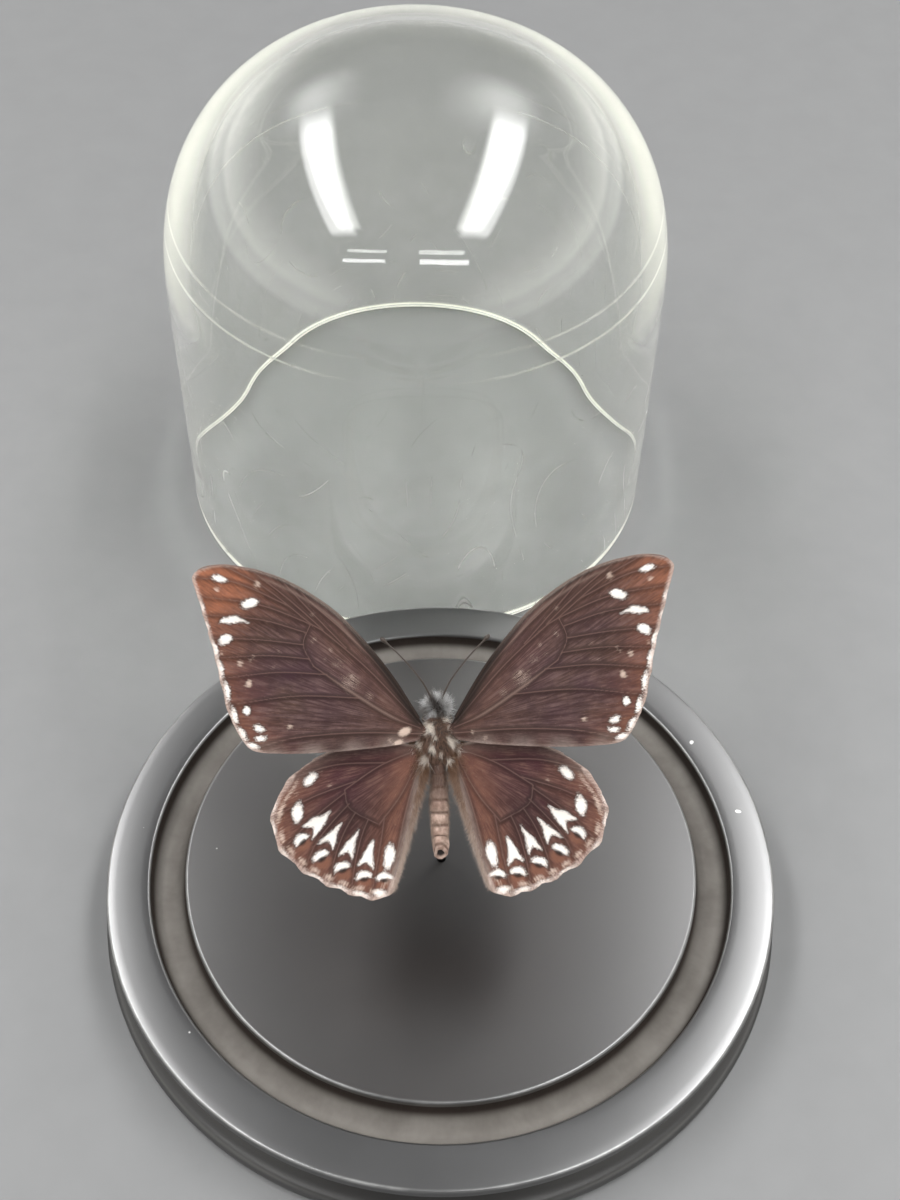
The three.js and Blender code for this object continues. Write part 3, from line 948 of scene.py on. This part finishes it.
# A wing lies flat in (right, towards the head), in mm, before it is lifted on the body by
# "lift" and raised by "dihedral" degrees.
FORE = {
    "lift": 1.0,
    "dihedral": 8,
    "root": (2.2, 0.9),
    "outline": [(3.5, 2.9), (9, 11.6), (16.4, 20.5), (23, 25.6), (29.4, 28.8), (36.5, 30.4),
                (41, 30), (42.7, 28.2), (41.6, 24.2), (40.4, 19.8), (38.9, 14.4), (37.3, 7),
                (35.6, 1.8), (32.6, -2.1), (27, -2.9), (18, -2.7), (9, -1.9), (3.5, -0.9)],
    "scallop": 0.22,
    "veins": [
        [(3.2, 1.2), (8.2, 3.2), (15, 7.4), (21.8, 12.2)],
        [(3.2, 1.8), (12, 11.3), (20.5, 18.8), (22, 19.6)],
        [(22.2, 19.7), (23.5, 16), (21.8, 12.2)],
        [(3.2, 2.4), (12, 14), (22, 23.5), (24.4, 26.2)],
        [(16, 15.3), (22, 21.8), (27.4, 27.8)],
        [(20, 18.6), (26, 24.2), (32.4, 29.4)],
        [(22, 19.6), (30, 26.2), (37, 30.2)],
        [(26, 23), (35, 27.2), (42.3, 28.2)],
        [(22, 19.6), (31, 23.2), (41.8, 24.9)],
        [(23.1, 18.2), (31, 20.6), (41, 21.6)],
        [(23.4, 16), (31, 17), (39.7, 17.5)],
        [(22.6, 13.5), (30, 14.2), (38.7, 13.9)],
        [(19.5, 10.7), (28, 11.2), (37.9, 10.3)],
        [(13.5, 6.5), (25, 7), (36.6, 5.6)],
        [(3.2, 0.2), (14, 0.5), (25, -0.2), (32.4, -2.0)],
    ],
    # White marks as (right, towards the head, half length, half width, turn in degrees).
    "ovals": [
        (38.0, 27.9, 1.15, 0.52, 16), (32.8, 23.5, 1.35, 0.72, -14), (37.0, 17.1, 1.1, 0.72, -25),
        (41.2, 23.2, 0.85, 0.45, 75), (40.5, 19.8, 0.9, 0.5, 70), (38.9, 15.6, 1.3, 0.5, 72),
        (37.9, 12.0, 1.5, 0.45, 78), (36.7, 8.1, 1.4, 0.42, 78), (35.5, 4.0, 1.2, 0.42, 70),
        (34.1, 0.7, 1.2, 0.42, 52), (32.4, -1.5, 0.9, 0.38, 20),
        (33.3, 4.7, 0.72, 0.62, 80), (31.2, 1.6, 0.85, 0.55, 25), (31.0, -0.2, 0.75, 0.45, -15),
    ],
    "patches": [[(32.9, 20.2), (35.2, 21.2), (37.2, 21.1), (38.1, 20.2), (36.0, 20.1)]],
    # Rubbed or cream marks as (right, towards the head, radius, strength).
    "faint": [
        (38.3, 26.2, 0.9, 0.5), (31.4, 26.9, 1.0, 0.6), (32.2, 13.9, 0.6, 0.35),
        (26.0, 1.7, 0.9, 0.55), (21.7, 16.8, 0.8, 0.35), (18.9, 15.1, 0.7, 0.3),
        (19.6, 13.3, 0.7, 0.3), (15.1, 10.3, 0.8, 0.4), (21.9, 21.5, 0.7, 0.3),
        (27.6, 14.9, 0.9, 0.2), (28.8, 12.2, 0.8, 0.2), (34.4, 12.9, 1.0, 0.62),
        (32.6, 13.6, 0.7, 0.40), (33.0, 9.3, 1.0, 0.78), (37.6, 14.9, 0.8, 0.35),
        (6.4, 0.2, 0.6, 0.5), (8.6, -0.8, 0.9, 0.35), (15.4, 9.4, 2.6, 0.30),
        (17.6, 12.6, 1.6, 0.22), (12.2, 6.8, 1.4, 0.24),
    ],
    "lunules": [],
}
HIND = {
    "lift": -0.3,
    "dihedral": 3,
    "root": (2.1, -3.0),
    "outline": [(3.5, -1.6), (9, -0.9), (16, -1.4), (22.5, -4), (26.6, -7.4), (28.9, -11.2),
                (29.4, -15.3), (28.2, -19), (25.4, -22.1), (21.6, -24.7), (17, -26.8),
                (12.4, -28.2), (9.4, -27.9), (7.9, -25.8), (6.4, -21), (4.9, -15.6),
                (3.4, -10), (2.5, -6.4)],
    "scallop": 0.45,
    "veins": [
        [(2.8, -2.2), (10, -5), (16.5, -9.2)],
        [(2.9, -3), (6.5, -10), (10.5, -15.2)],
        [(16.5, -9.2), (15.5, -12.5), (10.5, -15.4)],
        [(9, -4.6), (18, -4.8), (26.2, -7.1)],
        [(14.5, -7.7), (22, -10.3), (29.2, -13.7)],
        [(16.3, -9.6), (21.5, -13.6), (27.6, -19.4)],
        [(15.7, -11.6), (18.6, -14.6), (21.5, -18.2), (23.8, -23.1)],
        [(14.6, -13.1), (16.4, -16), (18, -19.8), (19.6, -25.6)],
        [(12.5, -14.5), (13.7, -17.4), (14.8, -21.7), (15.7, -27.2)],
        [(9.6, -14), (10.4, -18.6), (11.2, -22.7), (12.2, -28)],
        [(2.7, -4.5), (5, -10), (7.2, -18.5), (8.6, -26.6)],
    ],
    "ovals": [
        (22.4, -7.2, 1.3, 0.65, -42), (24.7, -12.9, 1.65, 0.8, -80), (8.95, -20.9, 2.0, 0.85, -78),
        (28.9, -11.6, 1.0, 0.38, -70), (29.0, -15.8, 1.2, 0.4, -95), (26.9, -20.4, 1.3, 0.4, -130),
        (21.9, -24.1, 1.3, 0.36, -148), (17.6, -26.1, 1.2, 0.42, -155),
        (14.0, -27.2, 1.2, 0.5, -160), (10.6, -27.1, 1.15, 0.65, -172),
    ],
    "patches": [
        [(19.0, -12.9), (21.6, -13.9), (23.7, -15.2), (21.9, -15.5), (22.2, -17.6), (20.8, -15.9)],
        [(17.0, -14.9), (19.3, -16.6), (21.1, -18.3), (19.3, -17.9), (18.7, -19.4), (18.1, -17.3)],
        [(14.2, -16.2), (16.2, -18.3), (17.6, -20.3), (16.0, -19.7), (15.4, -21.2), (14.9, -18.9)],
        [(11.7, -17.8), (13.3, -20.1), (14.3, -22.3), (12.8, -21.5), (11.8, -22.8), (11.7, -20.3)],
    ],
    "faint": [(18.9, -8.2, 0.8, 0.3), (24.9, -9.6, 0.9, 0.25), (20.6, -5.9, 0.8, 0.2)],
    "lunules": [(24.1, -17.7, 1.25, -128), (20.8, -20.6, 1.35, -118), (17.1, -22.6, 1.3, -110),
                (13.4, -24.2, 1.25, -100), (9.8, -24.5, 1.15, -95)],
}


def line_distance(u, v, path):
    """Distance from each point to a line of straight stretches."""
    least = np.full(len(u), 1e9)
    for (au, av), (bu, bv) in zip(path, path[1:]):
        du, dv = bu - au, bv - av
        t = np.clip(((u - au) * du + (v - av) * dv) / max(du * du + dv * dv, 1e-12), 0, 1)
        least = np.minimum(least, np.hypot(u - au - t * du, v - av - t * dv))
    return least


def oval_distance(u, v, cu, cv, length, width, turned):
    """Rough distance to the edge of an oval, less than 0 inside."""
    c, s = math.cos(math.radians(turned)), math.sin(math.radians(turned))
    x = ((u - cu) * c + (v - cv) * s) / length
    y = ((v - cv) * c - (u - cu) * s) / width
    return (np.hypot(x, y) - 1) * min(length, width)


def patch_distance(u, v, corners):
    """Distance to the edge of a patch with straight sides, less than 0 inside."""
    ring = [*corners, corners[0]]
    inside = np.zeros(len(u), bool)
    for (au, av), (bu, bv) in zip(ring, ring[1:]):
        crosses = (av > v) != (bv > v)
        at = au + (v - av) * (bu - au) / (bv - av if bv != av else 1e-9)
        inside ^= crosses & (u < at)
    return line_distance(u, v, ring) * np.where(inside, -1, 1)


def wing_marks(u, v, wing):
    """The numbers that the wing's shader turns into its pattern, for each point."""
    outline = smooth_path(wing["outline"], 240)
    wavy_u = u + 0.09 * np.sin(1.5 * v + 0.9 * u) + 0.03 * np.sin(3.3 * u - 2.1 * v)
    wavy_v = v + 0.09 * np.sin(1.7 * u - 0.8 * v) + 0.03 * np.sin(3.1 * v + 2.7 * u)
    white = np.full(len(u), 2.0)
    for mark in wing["ovals"]:
        white = np.minimum(white, oval_distance(wavy_u, wavy_v, *mark))
    for corners in wing["patches"]:
        white = np.minimum(white, patch_distance(wavy_u, wavy_v, corners))
    core = np.full(len(u), 2.0)
    for cu, cv, size, way in wing["lunules"]:
        out_u, out_v = math.cos(math.radians(way)), math.sin(math.radians(way))
        dome_shape = oval_distance(wavy_u, wavy_v, cu, cv, size * 0.78, size * 1.08, way)
        flat_side = (wavy_u - cu) * out_u + (wavy_v - cv) * out_v - 0.16 * size
        white = np.minimum(white, np.maximum(dome_shape, flat_side))
        core = np.minimum(core, oval_distance(wavy_u, wavy_v, cu + 0.92 * size * out_u,
                                              cv + 0.92 * size * out_v, size * 0.62, size, way))
    cream = np.zeros(len(u))
    for cu, cv, radius, strength in wing["faint"]:
        away = np.hypot(wavy_u - cu, wavy_v - cv)
        cream = np.maximum(cream, strength * np.clip((radius - away) / (0.8 * radius), 0, 1))
    vein = np.full(len(u), 9.0)
    for path in wing["veins"]:
        vein = np.minimum(vein, line_distance(u, v, smooth_path(path, 14)))
    rim = line_distance(u, v, outline)
    return {"white": np.clip(white, -2, 2), "core": np.clip(core, -2, 2), "cream": cream,
            "vein": vein, "rim": rim}


def wing_skin(wing, side, extra):
    """The wing as a fan of cells from its root to its rim, on the insect's right side."""
    rest()
    bpy.ops.mesh.primitive_grid_add(x_subdivisions=OUTLINE_STEPS, y_subdivisions=REACH_STEPS,
                                    size=1)
    skin = bpy.context.object
    grid = points_of(skin.data)
    around = (grid[:, 0] + 0.5).clip(0, 1)
    reach = (grid[:, 1] + 0.5).clip(0, 1)
    outline = smooth_path(wing["outline"], 900)
    chance = np.random.default_rng(5 if side > 0 else 6)
    run = np.linspace(0, 1, 900)
    ends = np.array([path[-1] for path in wing["veins"][3:]])
    to_end = np.min(np.hypot(outline[:, None, 0] - ends[None, :, 0],
                             outline[:, None, 1] - ends[None, :, 1]), axis=1)
    bay = wing["scallop"] * np.clip((to_end - 0.4) / 1.6, 0, 1) * (to_end < 5)
    frayed = np.convolve(chance.normal(0, 1, 900), [0.25, 0.5, 0.25], "same") * 0.05
    inward = np.interp(around, run, bay + frayed)
    edge = np.stack([np.interp(around, run, outline[:, k]) for k in (0, 1)], axis=1)
    root = np.array(wing["root"])
    ray = edge - root
    far = np.linalg.norm(ray, axis=1)
    span = ray * (1 - inward / np.maximum(far, 1))[:, None] - ray
    flat = root + ray * reach[:, None] + span * (reach ** 12)[:, None]
    u, v = flat[:, 0], flat[:, 1]
    marks = wing_marks(u, v, wing)
    extra(u, v, marks, side)
    camber = 0.9 * bell(u - 16, 16) * bell(v - 10 if wing is FORE else v + 12, 14)
    pleat = 0.16 * (bell(marks["vein"], 0.5) - bell(marks["vein"] - 1.6, 0.9))
    droop = -0.0011 * np.maximum(u - 14, 0) ** 2
    lift = camber + pleat * np.clip(reach * 3, 0, 1) + droop
    move_points(skin.data, np.stack([u, v, lift], axis=1) * MM)
    for name, values in marks.items():
        attach(skin.data, name, values)
    return skin, (u, v, lift)


def wing_finish(name, chocolate, brown, plum, rust, pale_streak):
    """Matt scales in rows across the wing: ground colour, marks, veins and a pale fringe."""
    look = finish(name)
    uv = look.node("ShaderNodeUVMap")
    rows = look.noise(1.0, 3, 0.6, uv, (300, 18, 1)).ramp(0.28, 0.72)
    fine = look.noise(1.0, 2, 0.6, uv, (900, 90, 1)).ramp(0.25, 0.75)
    streaks = look.noise(1.0, 3, 0.6, uv, (120, 7, 1)).ramp(0.40, 0.68)
    dust = look.noise(4600, 2, 0.7)
    fleck = look.noise(2100, 3, 0.75).ramp(0.60, 0.74)
    cloud = look.noise(260, 4, 0.65).ramp(0.3, 0.7)
    blotch = look.noise(110, 3, 0.5)
    white = look.attribute("white")
    vein = look.attribute("vein")
    rim = look.attribute("rim")
    rusty = look.attribute("rust")
    ground = look.mix(chocolate, brown, cloud * 0.5 + rows * 0.5)
    ground = look.mix(ground, plum, look.attribute("plum") * blotch.ramp(0.25, 0.7))
    between = vein.ramp(0.35, 0.9) * streaks
    ground = look.mix(ground, pale_streak, between * (0.25 + 0.45 * cloud))
    ground = look.mix(ground, rust, rusty * (0.35 + 0.45 * rows + 0.25 * cloud))
    flank = vein.ramp(0.85, 0.2) * (0.20 + 0.35 * cloud)
    ground = look.mix(ground, (0.016, 0.009, 0.008), flank)
    ground = look.mix(ground, (0.15, 0.085, 0.070), vein.ramp(0.16, 0.04) * 0.6)
    ground = look.mix(ground, (0.22, 0.15, 0.125), look.attribute("stem") * (0.25 + 0.4 * fine))
    core = look.attribute("core") + 0.5 * (dust - 0.5) + 0.3 * (fine - 0.5)
    ground = look.mix(ground, (0.19, 0.080, 0.050), core.ramp(0.35, -0.35) * 0.75)
    halo = white.ramp(0.55, 0.0) * 0.75
    ground = look.mix(ground, (0.026, 0.012, 0.009), halo)
    buff = look.attribute("buff") * (0.30 + 0.45 * rows + 0.35 * cloud)
    ground = look.mix(ground, (0.25, 0.20, 0.175), buff)
    ground = look.mix(ground, (0.30, 0.21, 0.175), fleck * (0.10 + 0.22 * rusty))
    cream = (look.attribute("cream") + 0.5 * (dust - 0.5) + 0.4 * (rows - 0.5)).ramp(0.12, 0.8)
    ground = look.mix(ground, (0.52, 0.40, 0.33), cream)
    ragged = white + 0.45 * (fine - 0.5) + 0.55 * (dust - 0.5) + 0.25 * (rows - 0.5)
    ground = look.mix(ground, (0.86, 0.80, 0.75), ragged.ramp(0.22, -0.20))
    ground = look.mix(ground, (0.012, 0.008, 0.006), look.attribute("dark") * 0.85)
    fringe = (rim + 0.30 * (fine - 0.5)).ramp(0.62, 0.12) * look.attribute("fringe")
    ground = look.mix(ground, (0.60, 0.47, 0.41), fringe * (0.30 + 0.65 * rows))
    relief = rows * 0.3 + fine * 0.4 + dust * 0.5
    look.surface(base_color=ground, roughness=0.70, specular_ior_level=0.22,
                 normal=look.bump(relief, 0.6, 0.00006))
    return look


def build_wing(name, node, wing, side, look, extra):
    skin, (u, v, height) = wing_skin(wing, side, extra)
    rest()
    skin.select_set(True)
    bpy.context.view_layer.objects.active = skin
    thicken = skin.modifiers.new("skin", "SOLIDIFY")
    thicken.thickness = WING_SKIN * MM
    thicken.offset = 0
    bpy.ops.object.modifier_apply(modifier="skin")
    bpy.ops.object.shade_smooth()
    tubes = []
    grid = np.stack([u, v], axis=1)
    for number, path in enumerate(wing["veins"]):
        line = smooth_path(path, 34)
        nearest = [int(np.argmin(np.hypot(*(grid - p).T))) for p in line]
        heights = height[nearest]
        share = np.linspace(0, 1, len(line))
        radii = (0.15 if number < 2 else 0.10) * (1 - 0.6 * share)
        tubes.append(rod([(p[0], p[1], h) for p, h in zip(line, heights)], radii.tolist(), 8,
                         "vein"))
    if wing is FORE:
        line = smooth_path(wing["outline"][:8], 60)
        nearest = [int(np.argmin(np.hypot(*(grid - p).T))) for p in line]
        share = np.linspace(0, 1, 60)
        tubes.append(rod([(p[0], p[1], height[n]) for p, n in zip(line, nearest)],
                         (0.34 - 0.24 * share).tolist(), 8, "vein"))
    ribs = joined(tubes)
    rib_points = points_of(ribs.data) / MM
    marks = wing_marks(rib_points[:, 0], rib_points[:, 1], wing)
    extra(rib_points[:, 0], rib_points[:, 1], marks, side)
    marks["vein"] = np.zeros(len(rib_points))
    for key, values in marks.items():
        attach(ribs.data, key, values)
    ribs.data.uv_layers.new(name="UVMap")
    piece = joined([skin, ribs])
    place = (BODY @ Matrix.Rotation(math.radians(-wing["dihedral"] * side), 4, "Y")
             @ Matrix.Translation((0, 0, wing["lift"] * MM)) @ Matrix.Diagonal((side, 1, 1, 1)))
    piece.data.transform(place)
    if side < 0:
        piece.data.flip_normals()
    settle(piece, name, look, "wing_scales", node)
    return piece


def fore_zones(u, v, marks, side):
    """Where the forewing turns rusty, purplish, dark and buff."""
    leading = line_distance(u, v, smooth_path(FORE["outline"][:7], 60))
    trailing = line_distance(u, v, smooth_path(FORE["outline"][13:], 30))
    outer = line_distance(u, v, smooth_path(FORE["outline"][6:14], 60))
    tip = bell(np.hypot(u - 38.5, v - 28), 7.0)
    base_side = smooth_step(u, 17, 7)
    marks["rust"] = np.clip(0.42 * bell(outer, 5.0) + (1.1 if side < 0 else 0.30) * tip
                            + 0.08 * bell(leading - 3.5, 3.0), 0, 1)
    marks["plum"] = bell(np.hypot((u - 26) / 1.2, v - 9), 11)
    marks["dark"] = smooth_step(leading, 0.8 + 1.2 * base_side, 0.35) * (1 - 0.7 * tip)
    marks["buff"] = 0.62 * smooth_step(trailing, 2.8, 0.0) * (0.5 + 0.5 * np.sin(0.9 * u + 0.6))
    marks["fringe"] = np.maximum(smooth_step(leading, 0.6, 1.6), 0.45 * smooth_step(u, 9, 20))
    if side < 0:
        for root_spot in ((6.0, 0.6, 1.35, 0.80, -28), (7.1, -1.3, 1.0, 0.62, -20)):
            pale_spot = smooth_step(oval_distance(u, v, *root_spot), 0.30, -0.60)
            marks["cream"] = np.maximum(marks["cream"], pale_spot)
    marks["fringe"] *= 1 - 0.8 * smooth_step(trailing, 1.6, 0.6) * smooth_step(u, 33, 28)
    marks["rim"] = marks["rim"] * (1 - 0.35 * smooth_step(outer, 2.5, 1.0))
    stem = line_distance(u, v, smooth_path(FORE["veins"][0], 30))
    costa_line = bell(leading - 1.25, 0.28) * smooth_step(u, 11, 16) * smooth_step(u, 34, 27)
    marks["stem"] = np.maximum(
        smooth_step(stem, 0.42, 0.08) * smooth_step(u, 5, 9) * smooth_step(u, 21, 15), costa_line)


def hind_zones(u, v, marks, side):
    """Where the hindwing turns rusty, purplish and buff."""
    inner = line_distance(u, v, smooth_path(HIND["outline"][13:], 30))
    front = line_distance(u, v, smooth_path(HIND["outline"][:5], 30))
    outer = line_distance(u, v, smooth_path(HIND["outline"][4:14], 60))
    marks["rust"] = np.clip(0.85 * bell(outer, 5.2) + 0.75 * bell(inner - 3.2, 3.0), 0, 1)
    marks["plum"] = np.clip(bell(np.hypot(u - 17, v + 10), 7) + 0.8 * bell(front, 4), 0, 1)
    marks["dark"] = 0.35 * bell(np.hypot(u - 15, v + 13), 5)
    for cu, cv, size, way in HIND["lunules"]:
        out_u, out_v = math.cos(math.radians(way)), math.sin(math.radians(way))
        pupil = oval_distance(u, v, cu + 0.36 * size * out_u, cv + 0.36 * size * out_v,
                              size * 0.30, size * 0.58, way)
        marks["dark"] = np.maximum(marks["dark"], smooth_step(pupil, 0.15, -0.15))
    flecks = 0.62 * bell(outer - 1.55, 0.60) * np.abs(np.sin(0.95 * u + 0.7 * v))
    marks["cream"] = np.maximum(marks["cream"], flecks)
    marks["buff"] = np.clip(0.95 * smooth_step(inner, 1.9, 0.5)
                            + 0.35 * smooth_step(front, 3.2, 0.2), 0, 1)
    marks["rim"] = marks["rim"] * (1 - 0.58 * smooth_step(outer, 2.5, 1.0))
    marks["fringe"] = np.ones(len(u))
    marks["stem"] = np.zeros(len(u))


fore_look = wing_finish("forewing_scales", (0.024, 0.011, 0.010), (0.088, 0.046, 0.034),
                        (0.046, 0.019, 0.025), (0.300, 0.108, 0.054), (0.150, 0.092, 0.088))
hind_look = wing_finish("hindwing_scales", (0.026, 0.009, 0.009), (0.086, 0.036, 0.028),
                        (0.054, 0.016, 0.021), (0.185, 0.078, 0.050), (0.170, 0.092, 0.074))
for side, word in ((1, "right"), (-1, "left")):
    build_wing("wing_fore_" + word, "forewing_" + word, FORE, side, fore_look, fore_zones)
    build_wing("wing_hind_" + word, "hindwing_" + word, HIND, side, hind_look, hind_zones)

margin_line = smooth_path(list(reversed(HIND["outline"][12:])), 200)
margins = []
for side in (-1, 1):
    chance = np.random.default_rng(75 + side)
    share = chance.random(3200) ** 1.35
    place = margin_line[(share * 185).astype(int)]
    roots = np.stack([side * (place[:, 0] + chance.uniform(-0.1, 0.9, 3200)), place[:, 1],
                      np.full(3200, 0.1) + 0.05 * place[:, 0]], axis=1)
    ways = np.array([-side * 0.35, -0.85, 0.12]) + chance.normal(0, 0.22, (3200, 3))
    lengths = (1.9 - 1.1 * share) * chance.uniform(0.5, 1.1, 3200)
    margin = hairs(roots, ways, lengths, 0.026, 77 + side)
    attach(margin.data, "pale", np.repeat(smooth_step(share + chance.normal(0, 0.15, 3200),
                                                      0.15, 0.6), 7))
    margins.append(margin)
margins = joined(margins)
margins.data.transform(BODY)
settle(margins, "hindwing_margin_hair", coat_look(
    "margin_hair", (0.10, 0.055, 0.035), (0.34, 0.21, 0.14), (0.50, 0.40, 0.34)), "wing_scales")


# ---- Antennae -------------------------------------------------------------------------
# Two thin jointed feelers with a small club at the end, glued into the head.
ANTENNA_ROUTE = [(0.8, 6.3, 0.45), (2.6, 9.6, 1.6), (5.9, 13.6, 2.7), (9.6, 17.2, 3.4)]
ANTENNA_JOINTS = 96

antenna_look = finish("dark_feeler")
antenna_bands = antenna_look.attribute("band")
antenna_look.surface(
    base_color=antenna_look.mix((0.014, 0.011, 0.010), (0.085, 0.060, 0.045), antenna_bands),
    roughness=0.45,
    normal=antenna_look.bump(antenna_look.noise(5000, 2), 0.4, 0.00003))
for side, word in ((1, "right"), (-1, "left")):
    line = smooth_path([(side * x, y, z) for x, y, z in ANTENNA_ROUTE], ANTENNA_JOINTS * 2)
    share = np.linspace(0, 1, len(line))
    radii = 0.17 - 0.05 * share + 0.30 * bell(share - 0.955, 0.045)
    radii += 0.018 * (np.arange(len(line)) % 2)
    radii[-1] = 0.08
    feeler = rod([tuple(p) for p in line], radii.tolist(), 12, "feeler")
    at = points_of(feeler.data) / MM
    near = np.argmin(np.linalg.norm(at[:, None] - line[None], axis=2), axis=1)
    attach(feeler.data, "band", (near % 2) * 1.0)
    feeler.data.transform(BODY)
    settle(feeler, "feeler_" + word, antenna_look, "insect_body", "antenna_" + word)
